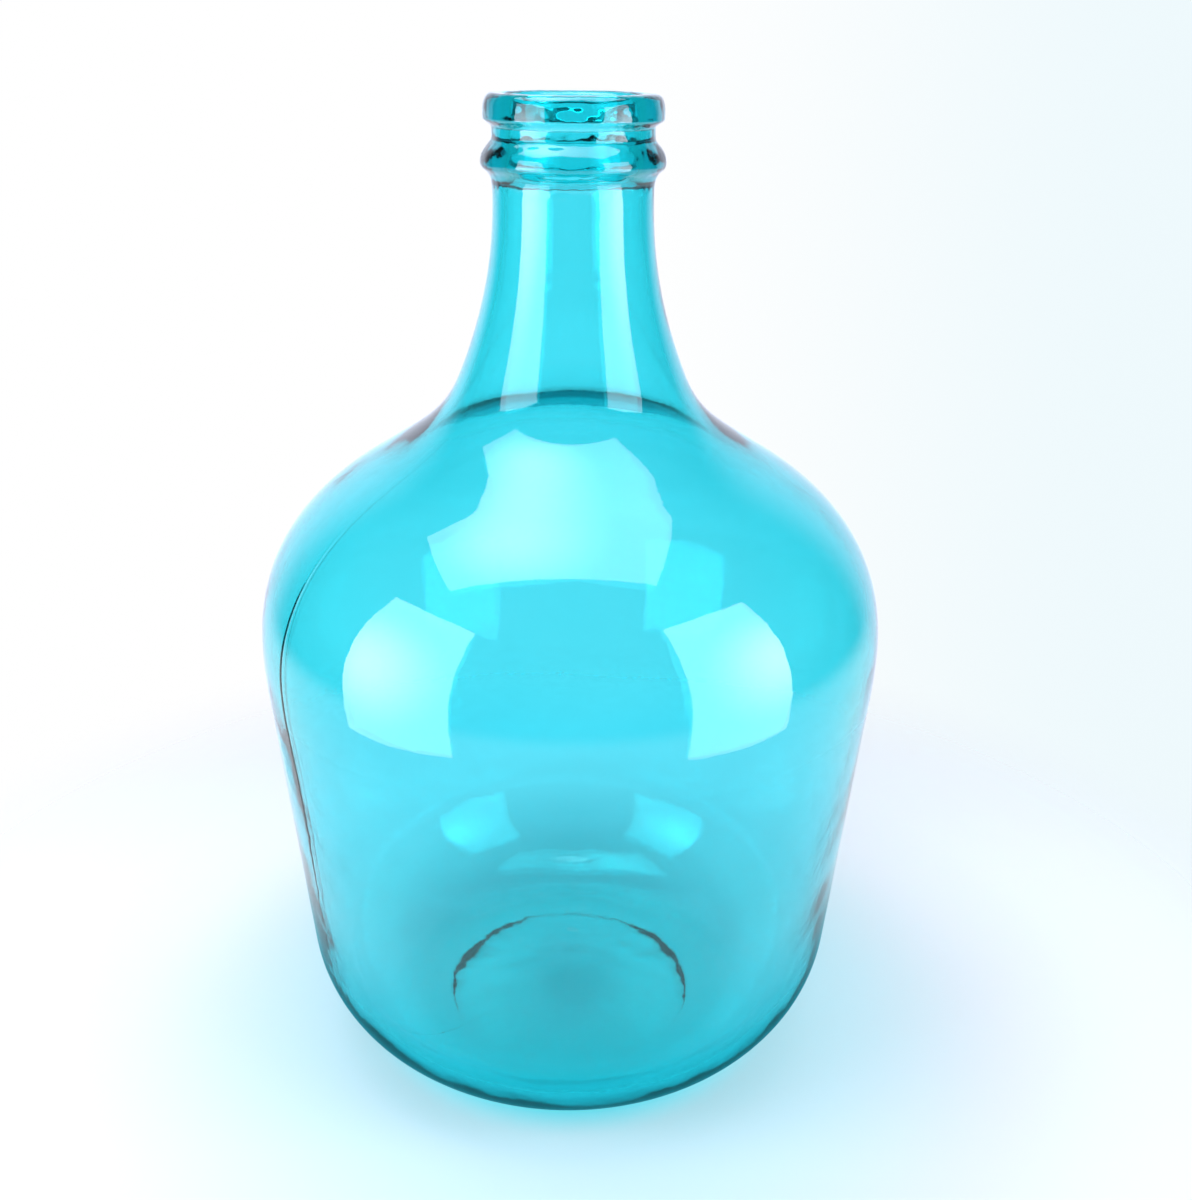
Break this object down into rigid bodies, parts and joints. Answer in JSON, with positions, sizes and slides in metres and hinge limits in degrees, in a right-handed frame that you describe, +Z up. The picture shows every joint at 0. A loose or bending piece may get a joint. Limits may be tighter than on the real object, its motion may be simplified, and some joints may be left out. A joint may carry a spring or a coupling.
{
  "type": "glass carboy",
  "caption": "Turquoise glass carboy with a broad tapered body, round shoulder, long flared neck, string ring and open rounded lip, for fermenting or storing liquid.",
  "frame": {"origin": "centre of the circle that the bottle stands on, in the plane of the surface under it", "axes": "+Z up along the axis of the neck, +X and +Y any two directions square to it, because the bottle is round"},
  "size_m": [0.268, 0.268, 0.42],
  "materials": {
    "glass": "clear turquoise tint, smooth and polished by fire"
  },
  "bodies": {
    "root": {"glass_bottle": "glass"}
  },
  "joints": []
}
